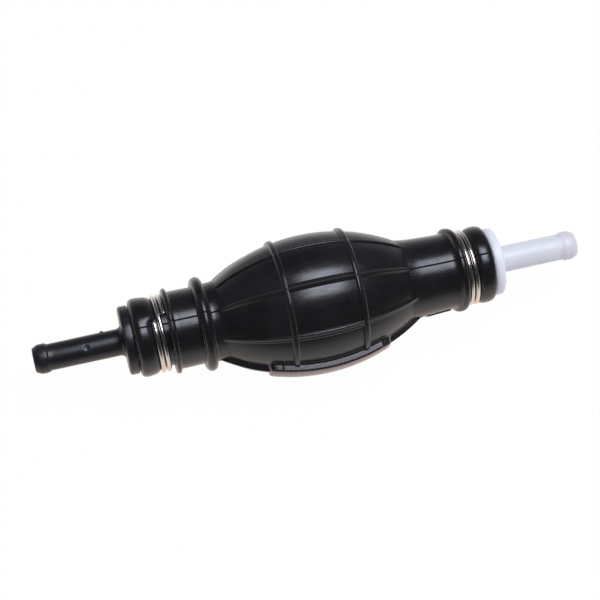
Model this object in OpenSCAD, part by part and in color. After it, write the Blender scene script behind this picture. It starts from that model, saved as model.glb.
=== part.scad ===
// Siphon bulb pump: a rubber bulb between two hose spigots, with a check valve behind each spigot.
// The flow axis is X, from the inlet spigot at -X to the outlet spigot at +X, and Z is up.
// The origin is the middle of the bulb on the flow axis. A roll angle is counted from -Y towards +Z.

/* [Bulb] */
// outside diameter of the bulb wall at its widest
bulb_d = 40.5; // [38:0.5:44]
// radius of the long curve that the wall follows from end to end
bulb_arc_r = 56; // [50:1:64]
// thickness of the bulb wall
wall = 2.6; // [2:0.1:3.2]
// outside diameter of the smooth necks
neck_d = 23.9; // [23.4:0.1:24.6]
// length from the foot of the bulb to the end of each cuff
neck_l = 26; // [25.4:0.1:29]
// diameter over the round bead at the inlet end of the bulb
bead_d = 29.3; // [27.5:0.1:31]
// width of that bead
bead_w = 4; // [3.6:0.1:4.4]
// distance from the foot of the bulb to the middle of the bead
bead_out = 4.7; // [3.4:0.1:5]

/* [Cuffs] */
// outside diameter of the cuffs that hold the fittings
cuff_d = 23.9; // [23.4:0.1:25]
// length of the inlet cuff
inlet_cuff_l = 5.5; // [4:0.1:6]
// length of the outlet cuff
outlet_cuff_l = 4.5; // [4:0.1:6]
// width of the groove that a clamp lies in
groove_w = 5.1; // [5.1:0.1:6]
// rubber left between the groove and the fitting's plug
grip_wall = 1.9; // [1.6:0.1:2.2]
// diameter over the thin rib beside the inlet clamp
inlet_rib_d = 26.1; // [25:0.1:27]
// width of that rib
inlet_rib_w = 1.5; // [1.2:0.1:2]
// diameter over the round collar beside the outlet clamp
outlet_collar_d = 25.8; // [25:0.1:27]
// width of that collar
outlet_collar_w = 3; // [2.6:0.1:3.6]

/* [Ribs and panel] */
// height of the lengthwise ribs above the wall
rib_h = 1.1; // [0.8:0.1:1.5]
// width of the lengthwise ribs as an angle round the axis
rib_angle = 5; // [3:0.5:7]
// width of the two ring ribs
ring_w = 1.7; // [1.2:0.1:2.4]
// distance between the two ring ribs
ring_gap = 21.8; // [18:0.2:24]
// how far the ring ribs and the panel sit towards the outlet
grip_shift = 0.9; // [0:0.1:3]
// angle from the mould parting rib to the ribs beside it
rib_step = 40; // [34:1:45]
// roll of the mould parting rib
parting_roll = 70; // [60:1:80]
// length of the raised panel
panel_l = 38; // [30:0.2:40]
// width of the raised panel
panel_w = 8.5; // [7:0.1:10]
// height of the raised panel above the wall
panel_h = 2.3; // [1.6:0.1:3]
// corner radius of the raised panel
panel_corner = 1.6; // [0.8:0.1:2.4]
// room between the panel and the wall that it rides on
panel_room = 0.1; // [0.05:0.05:0.3]

/* [Fittings] */
// outside diameter of a hose spigot
spigot_d = 8; // [7:0.5:10]
// wall of a hose spigot
spigot_wall = 1.4; // [1:0.1:1.6]
// length of the inlet's hose spigot from its flange to its tip
inlet_spigot_l = 27; // [20:0.2:32]
// length of the outlet's hose spigot from its flange to its tip
outlet_spigot_l = 25.6; // [20:0.2:32]
// how far the hose bead stands out from the spigot on each side
barb_h = 0.45; // [0.2:0.05:0.6]
// length of the flat top of the hose bead
barb_l = 2.4; // [1.6:0.1:3]
// diameter of a flange
flange_d = 20.8; // [19:0.2:22.5]
// thickness of a flange
flange_t = 2.9; // [2.4:0.1:3.4]
// diameter of the plug that fills the cuff
plug_d = 16; // [15.2:0.1:16.6]
// wall of the plug round the valve chamber
plug_wall = 1.8; // [1.5:0.1:2]
// solid floor of the plug between the flange's back and the valve chamber
plug_floor = 3; // [2.4:0.1:4]
// height of the barb at the plug's inner end
plug_barb_h = 0.6; // [0.3:0.1:0.9]

/* [Valves] */
// thickness of a seat ring
seat_t = 2.5; // [2:0.1:3]
// hole through a seat ring
seat_hole_d = 6.2; // [5.9:0.1:6.6]
// thickness of a seat seal
seal_t = 1.2; // [1:0.1:1.4]
// how far a seat seal stands proud of its ring
seal_proud = 0.5; // [0.3:0.05:0.6]
// thickness of a poppet's disc
poppet_t = 1.6; // [1.2:0.1:2.2]
// diameter of a poppet's guide stem
stem_d = 2.4; // [2:0.1:2.8]
// free way round a poppet's disc
poppet_way = 0.8; // [0.6:0.05:1]
// wall of a cage
cage_wall = 1; // [0.8:0.1:1.2]
// thickness of a cage's spider
spider_t = 2; // [1.6:0.1:2.6]
// length that a spring has with its valve shut
spring_l = 5; // [4.6:0.1:6]
// outside diameter of a spring
spring_d = 6.2; // [5.8:0.1:6.6]
// wire of a spring
spring_wire = 0.5; // [0.4:0.05:0.55]
// turns of a spring
spring_turns = 4; // [3:0.25:4]

/* [Wire clamps] */
// wire of a clamp
clamp_wire = 1.32; // [1:0.02:1.34]
// distance from one turn to the next
clamp_pitch = 1.78; // [1.76:0.02:1.82]
// turns of a clamp
clamp_turns = 1.97; // [1.9:0.01:2]
// roll of the inlet clamp's wire end
inlet_clamp_roll = 77; // [0:1:359]
// roll of the outlet clamp's wire end
outlet_clamp_roll = 315; // [0:1:359]

/* [Fits] */
// gap round a piece that is pushed in and stays
push_gap = 0.05; // [0.02:0.01:0.1]
// gap round a piece that slides
slide_gap = 0.06; // [0.04:0.01:0.1]
// gap between a wound wire and what it lies on
wire_gap = 0.12; // [0.1:0.01:0.2]
// gap between a flange and the end of its cuff
flange_gap = 0.2; // [0:0.05:0.3]

/* [Hidden] */
$fn = 96;
bulb_r = bulb_d / 2;
neck_r = neck_d / 2;
arc_centre = bulb_r - bulb_arc_r;
foot_x = sqrt(pow(bulb_arc_r, 2) - pow(neck_r - arc_centre, 2));
end_x = foot_x + neck_l;
groove_r = plug_d / 2 + grip_wall;
ring_h = rib_h - 0.15;
parting_ribs = [
    0,
    rib_step,
    90,
    180 - rib_step,
    180,
    180 + rib_step,
    270,
    360 - rib_step
];
panel_roll = parting_roll - 90;
spigot_bore_d = spigot_d - 2 * spigot_wall;
chamber_r = plug_d / 2 - plug_wall;
insert_r = chamber_r - push_gap;
cage_bore_r = insert_r - cage_wall;
poppet_r = cage_bore_r - poppet_way;
seal_r = poppet_r + 0.3;
hub_r = spring_d / 2 + 0.3;
cage_l = seal_proud + poppet_t + spring_l + spider_t;
valve_l = seat_t + cage_l;
shoulder_x = end_x - plug_floor;
chamber_l = valve_l + 0.3;
plug_end_x = shoulder_x - chamber_l;
flange_x = end_x + flange_gap;
inlet_valve_x = -shoulder_x;
outlet_valve_x = shoulder_x - valve_l;
stem_l = spring_l + spider_t - 0.4;

// points of a wire's middle line, wound round X with the roll falling as x grows
function wound_line(radius, pitch, turns, roll, x) = [
    for (t = concat([for (i = [0 : ceil(24 * turns) - 1]) i / 24], [turns]))
        [x + pitch * t, -radius * cos(roll - 360 * t), radius * sin(roll - 360 * t)]
];

function unit(v) = v / norm(v);

// direction of a line at point i
function along(line, i) =
    unit(line[min(i + 1, len(line) - 1)] - line[max(i - 1, 0)]);

// six points round a line at point i, with the first one farthest from X
function wire_ring(line, i, wire_r) =
    let (run = along(line, i))
    let (out = unit([0, line[i][1], line[i][2]]))
    let (side = unit(cross(run, out)))
    let (up = cross(side, run))
    [for (k = [0 : 5]) line[i] + wire_r * (cos(60 * k) * up + sin(60 * k) * side)];

// least distance between points of a line that are more than half a turn apart, less the wire
function self_gap(line, wire) =
    min([
        for (i = [0 : len(line) - 1])
            for (j = [i + 12 : 1 : len(line) - 1])
                norm(line[i] - line[j])
    ]) - wire;

// one unbroken round wire along a line
module wire_tube(line, wire) {
    last = len(line) - 1;
    points = [
        for (i = [0 : last])
            each wire_ring(line, i, wire / 2)
    ];
    sides = [
        for (i = [0 : last - 1])
            for (k = [0 : 5])
                let (a = 6 * i + k)
                let (b = 6 * i + (k + 1) % 6)
                each [[a, b, b + 6], [a, b + 6, a + 6]]
    ];
    first_cap = [for (k = [1 : 4]) [0, k + 1, k]];
    last_cap = [for (k = [1 : 4]) [6 * last, 6 * last + k, 6 * last + k + 1]];
    polyhedron(points, concat(sides, first_cap, last_cap));
}

// turns an outline of radius and length round the X axis
module turned() {
    rotate([0, 90, 0])
        rotate_extrude()
            children();
}

// turns a piece that faces -Y to a roll angle
module rolled(angle) {
    rotate([-angle, 0, 0])
        children();
}

// outline of everything inside the wall's long curve grown by an amount
module curve_outline(grow) {
    intersection() {
        translate([arc_centre, 0])
            circle(bulb_arc_r + grow, $fn = 360);
        translate([0, -foot_x - 1])
            square([bulb_d, 2 * foot_x + 2]);
    }
}

// outline of a step from x0 to x1 with its two outer corners rounded
module round_step(x0, x1, radius, corner) {
    translate([0, x0])
        square([radius - corner, x1 - x0]);
    translate([0, x0 + corner])
        square([radius, x1 - x0 - 2 * corner]);
    translate([radius - corner, x0 + corner])
        circle(corner);
    translate([radius - corner, x1 - corner])
        circle(corner);
}

// outline of the plug of a fitting with its barb, seen at the outlet end
module plug_outline(gap) {
    translate([0, plug_end_x - gap])
        square([plug_d / 2 + gap, end_x - plug_end_x + gap]);
    polygon([
        [plug_d / 2 - 1, plug_end_x - gap],
        [plug_d / 2 + gap, plug_end_x - gap],
        [plug_d / 2 + plug_barb_h + gap, plug_end_x + 2],
        [plug_d / 2 + plug_barb_h + gap, plug_end_x + 2.6 + gap],
        [plug_d / 2 - 1, plug_end_x + 2.6 + gap]
    ]);
}

// outline of the rubber moulding with its hollow
module rubber_outline() {
    difference() {
        union() {
            curve_outline(0);
            translate([0, -end_x + 0.5])
                square([neck_r, 2 * end_x - 1]);
            round_step(-end_x, inlet_cuff_l - end_x, cuff_d / 2, 1.3);
            round_step(end_x - outlet_cuff_l, end_x, cuff_d / 2, 1.3);
            translate([bead_d / 2 - bead_w / 2, -foot_x - bead_out])
                circle(bead_w / 2);
            round_step(
                inlet_cuff_l + groove_w - end_x,
                inlet_cuff_l + groove_w + inlet_rib_w - end_x,
                inlet_rib_d / 2,
                inlet_rib_w * 0.4
            );
            round_step(
                end_x - outlet_cuff_l - groove_w - outlet_collar_w,
                end_x - outlet_cuff_l - groove_w,
                outlet_collar_d / 2,
                1.2
            );
        }
        translate([groove_r, inlet_cuff_l - end_x])
            square([bulb_d, groove_w]);
        translate([groove_r, end_x - outlet_cuff_l - groove_w])
            square([bulb_d, groove_w]);
        curve_outline(-wall);
        translate([0, -end_x - 1])
            square([plug_d / 2 + push_gap, 2 * end_x + 2]);
        plug_outline(push_gap);
        mirror([0, 1])
            plug_outline(push_gap);
    }
}

// outline of a band that lies on the wall's curve between two x positions
module band_outline(x0, x1, under, over) {
    intersection() {
        difference() {
            curve_outline(over);
            curve_outline(under);
        }
        translate([0, x0])
            square([bulb_d, x1 - x0]);
    }
}

// upright block with the panel's plan, grown by a gap on each side
module panel_block(gap) {
    long = panel_l + 2 * gap;
    wide = panel_w + 2 * gap;
    corner = panel_corner + gap;
    translate([grip_shift, 0, 0])
        rotate([90, 0, 0])
            linear_extrude(bulb_d) {
                square([long - 2 * corner, wide], center = true);
                square([long, wide - 2 * corner], center = true);
                for (x = [-1, 1])
                    for (y = [-1, 1])
                        translate([x * (long / 2 - corner), y * (wide / 2 - corner)])
                            circle(corner);
            }
}

// lengthwise and ring ribs before the panel's place is cut out
module rib_grid() {
    for (a = parting_ribs)
        rolled(parting_roll - a)
            rotate([0, 90, 0])
                rotate([0, 0, -90 - rib_angle / 2])
                    rotate_extrude(angle = rib_angle)
                        band_outline(-foot_x, foot_x, -0.6, rib_h);
    for (s = [-1, 1])
        turned()
            band_outline(
                grip_shift + s * ring_gap / 2 - ring_w / 2,
                grip_shift + s * ring_gap / 2 + ring_w / 2,
                -0.5,
                ring_h
            );
}

module bulb() {
    color([0.05, 0.05, 0.055]) {
        turned()
            rubber_outline();
        difference() {
            rib_grid();
            rolled(panel_roll)
                panel_block(panel_room);
        }
    }
}

module grip_panel() {
    color([0.07, 0.07, 0.075])
        intersection() {
            turned()
                band_outline(-foot_x, foot_x, panel_room, panel_h);
            rolled(panel_roll)
                panel_block(0);
        }
}

// fitting with its spigot towards +X
module fitting(spigot_l) {
    tip_x = flange_x + flange_t + spigot_l;
    barb_end = tip_x - 1.5;
    spigot_r = spigot_d / 2;
    turned()
        difference() {
            union() {
                plug_outline(0);
                translate([0, end_x - 0.5])
                    square([plug_d / 2, flange_gap + 1]);
                polygon([
                    [0, flange_x],
                    [flange_d / 2 - 0.3, flange_x],
                    [flange_d / 2, flange_x + 0.3],
                    [flange_d / 2, flange_x + flange_t - 0.6],
                    [flange_d / 2 - 0.6, flange_x + flange_t],
                    [spigot_r + 0.9, flange_x + flange_t],
                    [spigot_r, flange_x + flange_t + 0.9],
                    [spigot_r, barb_end - barb_l - 0.8],
                    [spigot_r + barb_h, barb_end - barb_l],
                    [spigot_r + barb_h, barb_end],
                    [spigot_r - 0.35, tip_x],
                    [0, tip_x]
                ]);
            }
            translate([0, plug_end_x - 1])
                square([chamber_r, chamber_l + 1]);
            translate([0, plug_end_x])
                square([spigot_bore_d / 2, tip_x]);
        }
}

module inlet_fitting() {
    color([0.08, 0.08, 0.085])
        mirror([1, 0, 0])
            fitting(inlet_spigot_l);
}

module outlet_fitting() {
    color([0.86, 0.88, 0.96])
        fitting(outlet_spigot_l);
}

module clamp(roll, x) {
    line = wound_line(groove_r + wire_gap + clamp_wire / 2, clamp_pitch, clamp_turns, roll, x);
    echo("least gap of a clamp's wire to itself, mm:", self_gap(line, clamp_wire));
    color([0.78, 0.76, 0.72])
        wire_tube(line, clamp_wire);
}

module inlet_clamp() {
    clamp(inlet_clamp_roll, inlet_cuff_l - end_x + groove_w / 2 - clamp_pitch * clamp_turns / 2);
}

module outlet_clamp() {
    clamp(outlet_clamp_roll, end_x - outlet_cuff_l - groove_w / 2 - clamp_pitch * clamp_turns / 2);
}

// ring with the seal's pocket in its downstream face, from x towards +X
module seat_ring(x) {
    color([0.82, 0.8, 0.74])
        turned()
            difference() {
                translate([0, x])
                    square([insert_r, seat_t]);
                translate([0, x - 1])
                    square([seat_hole_d / 2, seat_t + 2]);
                translate([0, x + seat_t + seal_proud - seal_t])
                    square([seal_r + push_gap, seal_t]);
            }
}

module seat_seal(x) {
    color([0.25, 0.12, 0.08])
        turned()
            translate([seat_hole_d / 2, x + seat_t + seal_proud - seal_t])
                square([seal_r - seat_hole_d / 2, seal_t]);
}

module poppet(x) {
    face = x + seat_t + seal_proud;
    color([0.85, 0.84, 0.8])
        turned() {
            translate([0, face])
                square([poppet_r, poppet_t]);
            translate([0, face + poppet_t - 0.2])
                square([stem_d / 2, stem_l + 0.2]);
        }
}

module spring(x) {
    start = x + seat_t + seal_proud + poppet_t + spring_wire / 2 + wire_gap;
    pitch = (spring_l - spring_wire - 2 * wire_gap) / spring_turns;
    line = wound_line((spring_d - spring_wire) / 2, pitch, spring_turns, 0, start);
    echo("least gap of a spring's wire to itself, mm:", self_gap(line, spring_wire));
    color([0.7, 0.7, 0.72])
        wire_tube(line, spring_wire);
}

// tube round the poppet with a spider at its downstream end
module cage(x) {
    back = x + valve_l - spider_t;
    color([0.82, 0.8, 0.74])
        difference() {
            union() {
                turned()
                    translate([cage_bore_r, x + seat_t])
                        square([cage_wall, cage_l]);
                turned()
                    translate([0, back])
                        square([hub_r, spider_t]);
                for (a = [0, 120, 240])
                    rotate([a, 0, 0])
                        translate([back, -0.7, 0])
                            cube([spider_t, 1.4, cage_bore_r + cage_wall / 2]);
            }
            translate([back - 1, 0, 0])
                rotate([0, 90, 0])
                    cylinder(h = spider_t + 2, d = stem_d + 2 * slide_gap);
        }
}

module inlet_seat_ring() {
    seat_ring(inlet_valve_x);
}

module inlet_seat_seal() {
    seat_seal(inlet_valve_x);
}

module inlet_poppet() {
    poppet(inlet_valve_x);
}

module inlet_spring() {
    spring(inlet_valve_x);
}

module inlet_cage() {
    cage(inlet_valve_x);
}

module outlet_seat_ring() {
    seat_ring(outlet_valve_x);
}

module outlet_seat_seal() {
    seat_seal(outlet_valve_x);
}

module outlet_poppet() {
    poppet(outlet_valve_x);
}

module outlet_spring() {
    spring(outlet_valve_x);
}

module outlet_cage() {
    cage(outlet_valve_x);
}

bulb();
grip_panel();
inlet_fitting();
inlet_clamp();
inlet_seat_ring();
inlet_seat_seal();
inlet_poppet();
inlet_spring();
inlet_cage();
outlet_fitting();
outlet_clamp();
outlet_seat_ring();
outlet_seat_seal();
outlet_poppet();
outlet_spring();
outlet_cage();
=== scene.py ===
# %% [markdown]
# # A siphon bulb pump
# A hand pump that sits in a hose: a ribbed black rubber bulb, a black spigot on its inlet end,
# a milky white spigot on its outlet end, and a wound wire clamp on each cuff. Two small check
# valves hide inside the cuffs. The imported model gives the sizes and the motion, so it is loaded
# first, and every piece below is made in the same frame, in metres, with X along the flow.

import math

import bpy
from mathutils import Matrix, Vector
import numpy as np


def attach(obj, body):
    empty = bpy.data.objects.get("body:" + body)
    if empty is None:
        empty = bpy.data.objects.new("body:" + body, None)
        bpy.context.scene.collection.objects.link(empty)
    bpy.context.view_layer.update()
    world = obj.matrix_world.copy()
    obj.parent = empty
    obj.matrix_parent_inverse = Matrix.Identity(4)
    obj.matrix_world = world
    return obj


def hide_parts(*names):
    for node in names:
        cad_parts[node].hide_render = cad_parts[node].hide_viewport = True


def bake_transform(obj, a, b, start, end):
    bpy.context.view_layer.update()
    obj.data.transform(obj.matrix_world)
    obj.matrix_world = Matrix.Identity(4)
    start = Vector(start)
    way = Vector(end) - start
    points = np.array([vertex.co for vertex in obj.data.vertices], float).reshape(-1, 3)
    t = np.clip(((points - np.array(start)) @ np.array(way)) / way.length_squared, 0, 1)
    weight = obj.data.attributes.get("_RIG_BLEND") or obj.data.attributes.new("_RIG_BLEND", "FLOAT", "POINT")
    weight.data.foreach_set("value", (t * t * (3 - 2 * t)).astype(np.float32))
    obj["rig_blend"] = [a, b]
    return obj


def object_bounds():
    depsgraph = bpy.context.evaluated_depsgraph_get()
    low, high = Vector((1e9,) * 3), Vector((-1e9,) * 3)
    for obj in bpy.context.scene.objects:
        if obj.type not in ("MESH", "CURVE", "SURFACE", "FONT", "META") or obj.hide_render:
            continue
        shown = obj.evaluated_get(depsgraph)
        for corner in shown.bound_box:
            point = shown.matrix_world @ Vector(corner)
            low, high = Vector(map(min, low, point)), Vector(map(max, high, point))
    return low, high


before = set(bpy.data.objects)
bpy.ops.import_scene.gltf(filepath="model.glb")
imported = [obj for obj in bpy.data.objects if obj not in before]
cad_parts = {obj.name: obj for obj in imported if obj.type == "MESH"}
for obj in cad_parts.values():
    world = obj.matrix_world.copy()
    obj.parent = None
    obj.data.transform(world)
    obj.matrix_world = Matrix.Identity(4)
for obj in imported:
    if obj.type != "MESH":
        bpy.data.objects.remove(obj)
cad_low, cad_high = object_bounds()
scene = bpy.context.scene
scene.view_settings.view_transform = "Standard"
MM = 0.001
cad_size = [round(v / MM, 1) for v in cad_high - cad_low]
print("packed nodes:", len(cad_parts), "box in mm:", cad_size)

# %% [markdown]
# ## The camera
# The picture was taken from above the inlet side. A camera can be aimed with a constraint or by
# hand; here its axes are worked out from three angles and a distance, because then the middle of
# the bulb can be put on the exact spot of the picture where it belongs.

# %% Place the camera
VIEW_TURN, VIEW_RISE, VIEW_ROLL = math.radians(14.875), math.radians(56.105), math.radians(0.25)
VIEW_DISTANCE = 0.4805
PICTURE = 600
FOCAL_PIXELS = 1582.2
MIDDLE_PIXEL = (312.7, 300.3)
SENSOR = 36


def camera_frame():
    """World matrix of a camera that shows the bulb's middle at MIDDLE_PIXEL."""
    back = Vector((
        -math.sin(VIEW_TURN) * math.cos(VIEW_RISE),
        -math.cos(VIEW_TURN) * math.cos(VIEW_RISE),
        math.sin(VIEW_RISE),
    ))
    level = Vector((0, 0, 1)).cross(back).normalized()
    upright = back.cross(level)
    right = math.cos(VIEW_ROLL) * level + math.sin(VIEW_ROLL) * upright
    up = math.cos(VIEW_ROLL) * upright - math.sin(VIEW_ROLL) * level
    metres_per_pixel = VIEW_DISTANCE / FOCAL_PIXELS
    aside = (PICTURE / 2 - MIDDLE_PIXEL[0]) * metres_per_pixel
    above = (MIDDLE_PIXEL[1] - PICTURE / 2) * metres_per_pixel
    place = back * VIEW_DISTANCE + right * aside + up * above
    return Matrix((
        (right.x, up.x, back.x, place.x),
        (right.y, up.y, back.y, place.y),
        (right.z, up.z, back.z, place.z),
        (0, 0, 0, 1),
    ))


bpy.ops.object.select_all(action="DESELECT")
bpy.ops.object.camera_add()
camera = bpy.context.object
camera.name = "picture_camera"
camera.matrix_world = camera_frame()
camera.data.sensor_width = SENSOR
camera.data.lens = FOCAL_PIXELS * SENSOR / PICTURE
camera.data.clip_start = 0.01
scene.camera = camera
print("camera at", [round(v, 3) for v in camera.location], "lens", round(camera.data.lens, 1))

# %% [markdown]
# ## The light
# The rubber shows one broad soft highlight along its top. A sun or a spot would be easier to aim,
# but on a curved surface each leaves a small hard glint. One large soft box overhead gives the
# highlight its width and its soft ends.

# %% Soft box
SOFT_BOX_PLACE = (0.182, -0.0975, 0.8)
SOFT_BOX_SIZE = (0.39, 0.555)
SOFT_BOX_WATTS = 6.05
SOFT_BOX_TINT = (0.82, 0.85, 1.0)
bpy.ops.object.light_add(type="AREA", location=SOFT_BOX_PLACE)
soft_box = bpy.context.object
soft_box.name = "soft_box"
soft_box.data.shape = "RECTANGLE"
soft_box.data.size, soft_box.data.size_y = SOFT_BOX_SIZE
soft_box.data.energy = SOFT_BOX_WATTS
soft_box.data.color = SOFT_BOX_TINT
print("soft box:", SOFT_BOX_WATTS, "W at", SOFT_BOX_PLACE)

# %% [markdown]
# ## The room
# The world gives the matt surfaces an even fill. Shiny surfaces mirror the world, and an even one
# would veil the black rubber in grey, so reflections see a dark room instead, with dim walls at
# the sides and behind. A picture of a studio could stand in for it, but a few soft ramps on the
# direction do the same with values that can be changed. To the camera the world is plain white.

# %% Node helpers
def math_node(nodes, links, operation, *values):
    """Result of a Math node on numbers and on other nodes' outputs."""
    node = nodes.new("ShaderNodeMath")
    node.operation = operation
    for socket, value in zip(node.inputs, values):
        if isinstance(value, float):
            socket.default_value = value
        else:
            links.new(value, socket)
    return node.outputs[0]


def soft_ramp(nodes, links, value, start, stop, amount=1.0):
    """Rises softly from 0 where a value is at start to an amount where it is at stop."""
    ramp = nodes.new("ShaderNodeMapRange")
    ramp.interpolation_type = "SMOOTHSTEP"
    ramp.inputs["From Min"].default_value = start
    ramp.inputs["From Max"].default_value = stop
    ramp.inputs["To Max"].default_value = amount
    links.new(value, ramp.inputs["Value"])
    return ramp.outputs[0]


def mix_shaders(nodes, links, share, first, second):
    """Goes from the first shader to the second by a share."""
    mix = nodes.new("ShaderNodeMixShader")
    for socket, value in zip(mix.inputs, (share, first, second)):
        links.new(value, socket)
    return mix.outputs[0]


def axes_of(nodes, links, place):
    """Outputs X, Y and Z of a coordinate."""
    split = nodes.new("ShaderNodeSeparateXYZ")
    links.new(place, split.inputs[0])
    return split.outputs


# %% Dark room
FILL_TINT, FILL = (0.85, 0.87, 1), 0.38
ROOM_DARK, BACK_WALL, SIDE_WALL = 0.03, 0.42, 0.08
BACK_WALL_TOP, BACK_WALL_TURN = (0.5, 0.0), (0.1, 0.7)
SIDE_WALL_TURN, SIDE_WALL_FRONT = (0.2, 0.55), (-0.45, 0.0)


def room_light(nodes, links):
    """Even fill for the matt surfaces, and a dark room with dim walls for the shiny ones."""
    sky = nodes["Background"]
    sky.inputs["Color"].default_value = (*FILL_TINT, 1)
    view = nodes.new("ShaderNodeTexCoord")
    axes = axes_of(nodes, links, view.outputs["Generated"])
    sideways = math_node(nodes, links, "ABSOLUTE", axes["X"])
    low = soft_ramp(nodes, links, axes["Z"], *BACK_WALL_TOP, BACK_WALL)
    behind = soft_ramp(nodes, links, axes["Y"], *BACK_WALL_TURN)
    back = math_node(nodes, links, "MULTIPLY_ADD", low, behind, ROOM_DARK)
    aside = soft_ramp(nodes, links, sideways, *SIDE_WALL_TURN, SIDE_WALL)
    beyond = soft_ramp(nodes, links, axes["Y"], *SIDE_WALL_FRONT)
    walls = math_node(nodes, links, "MULTIPLY_ADD", aside, beyond, back)
    path = nodes.new("ShaderNodeLightPath")
    either = nodes.new("ShaderNodeMix")
    either.inputs[2].default_value = FILL
    links.new(path.outputs["Is Glossy Ray"], either.inputs[0])
    links.new(walls, either.inputs[3])
    links.new(either.outputs[0], sky.inputs["Strength"])
    plain = nodes.new("ShaderNodeBackground")
    plain.inputs["Color"].default_value = (1, 1, 1, 1)
    seen = path.outputs["Is Camera Ray"]
    shown = mix_shaders(nodes, links, seen, sky.outputs[0], plain.outputs[0])
    links.new(shown, nodes["World Output"].inputs["Surface"])


room = bpy.data.worlds.new("dark_room")
scene.world = room
room.use_nodes = True
room_light(room.node_tree.nodes, room.node_tree.links)
print("room nodes:", len(room.node_tree.nodes))

# %% [markdown]
# ## The floor
# The lower edges of the rubber mirror a pale floor. A lit plane alone would never be quite white,
# so the floor shines white to the camera and in reflections, with a little of its real shading
# mixed in, which leaves a faint shadow under the pump. In reflections it is a little warm right
# under the pump, and it darkens towards the room in front and behind.

# %% White floor
FLOOR_SIZE = 6
FLOOR_WHITE = 0.985
PAPER, WARM = (0.92, 0.88, 0.84), (1, 0.85, 0.76)
WARM_STRIP = (0.034, 0.022, 1.0)
FRONT_DIM, BACK_DIM = (-0.015, -0.135, 0.88), (0.05, 0.3, 0.55)


def object_place(nodes):
    """Object coordinates for a material."""
    return nodes.new("ShaderNodeTexCoord").outputs["Object"]


def two_tone(nodes, links, value, dark, light):
    """Colour between two tones."""
    mix = nodes.new("ShaderNodeMix")
    mix.data_type = "RGBA"
    mix.inputs[6].default_value = (*dark, 1)
    mix.inputs[7].default_value = (*light, 1)
    links.new(value, mix.inputs[0])
    return mix


def floor_finish():
    """White for what looks at it, and lit like paper for the light that it throws back."""
    material = bpy.data.materials.new("white_floor")
    material.use_nodes = True
    nodes, links = material.node_tree.nodes, material.node_tree.links
    nodes.clear()
    out = nodes.new("ShaderNodeOutputMaterial")
    paper = nodes.new("ShaderNodeBsdfDiffuse")
    paper.inputs["Color"].default_value = (*PAPER, 1)
    plain = nodes.new("ShaderNodeEmission")
    path = nodes.new("ShaderNodeLightPath").outputs
    seen = math_node(nodes, links, "MULTIPLY", path["Is Camera Ray"], FLOOR_WHITE)
    glossy, through = path["Is Glossy Ray"], path["Is Transmission Ray"]
    mirrored = math_node(nodes, links, "MAXIMUM", glossy, through)
    y = axes_of(nodes, links, object_place(nodes))["Y"]

    def mirrored_ramp(value, ramp):
        """A soft ramp that acts only on what sees the floor in a reflection."""
        return math_node(nodes, links, "MULTIPLY", soft_ramp(nodes, links, value, *ramp), mirrored)

    off_middle = math_node(nodes, links, "ABSOLUTE", y)
    tint = two_tone(nodes, links, mirrored_ramp(off_middle, WARM_STRIP), (1, 1, 1), WARM)
    links.new(tint.outputs[2], plain.inputs["Color"])
    front = math_node(nodes, links, "SUBTRACT", 1.0, mirrored_ramp(y, FRONT_DIM))
    strength = math_node(nodes, links, "SUBTRACT", front, mirrored_ramp(y, BACK_DIM))
    links.new(strength, plain.inputs["Strength"])
    white = math_node(nodes, links, "MAXIMUM", seen, mirrored)
    shown = mix_shaders(nodes, links, white, paper.outputs[0], plain.outputs[0])
    links.new(shown, out.inputs["Surface"])
    return material


bpy.ops.mesh.primitive_plane_add(size=FLOOR_SIZE, location=(0, 0, cad_low.z))
floor = bpy.context.object
floor.name = "floor"
floor.data.materials.append(floor_finish())
print("floor at z =", round(cad_low.z / MM, 2), "mm")

# %% [markdown]
# ## Drawing an outline and spinning it
# Almost every piece here was turned or moulded round the flow axis. The bulb could be lofted from
# rings, but an outline that is spun round X is quicker and keeps every rim round. The outline
# starts as one point, which is pulled from place to place by extruding. A spin can be made in
# several sweeps with finer steps where a rib will stand.

# %% Outline and spin helpers
MERGE = 2e-6


def draw_outline(name, outline):
    """Piece with a closed outline in the XZ plane, from (x, radius) pairs in millimetres."""
    bpy.ops.object.select_all(action="DESELECT")
    bpy.ops.mesh.primitive_plane_add(size=MM)
    piece = bpy.context.object
    piece.name = piece.data.name = name
    bpy.ops.object.mode_set(mode="EDIT")
    bpy.ops.mesh.select_mode(type="VERT")
    bpy.ops.mesh.merge(type="CENTER")
    bpy.ops.transform.translate(value=(outline[0][0] * MM, 0, outline[0][1] * MM))
    for (x0, r0), (x1, r1) in zip(outline, outline[1:] + outline[:1]):
        step = ((x1 - x0) * MM, 0, (r1 - r0) * MM)
        bpy.ops.mesh.extrude_region_move(TRANSFORM_OT_translate={"value": step})
    bpy.ops.mesh.select_all(action="SELECT")
    bpy.ops.mesh.remove_doubles(threshold=MERGE)
    return piece


def spin_outline(piece, sweeps, crease):
    """Spins the outline round X in (degrees, steps) sweeps and shades it smooth up to a crease."""
    bpy.ops.mesh.select_all(action="SELECT")
    for degrees, steps in sweeps:
        turn = math.radians(degrees)
        bpy.ops.mesh.spin(steps=steps, angle=turn, center=(0, 0, 0), axis=(1, 0, 0))
    bpy.ops.mesh.select_all(action="SELECT")
    bpy.ops.mesh.remove_doubles(threshold=MERGE)
    bpy.ops.mesh.normals_make_consistent(inside=False)
    bpy.ops.object.mode_set(mode="OBJECT")
    bpy.ops.object.shade_smooth_by_angle(angle=math.radians(crease))
    print(piece.name, "has", len(piece.data.polygons), "faces")


def arc(middle_x, middle_r, radius, start, stop, steps):
    """Points of an arc in the outline's plane; angles in degrees from +X towards the outside."""
    angles = [math.radians(start + (stop - start) * i / steps) for i in range(steps + 1)]
    return [(middle_x + radius * math.cos(a), middle_r + radius * math.sin(a)) for a in angles]


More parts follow.
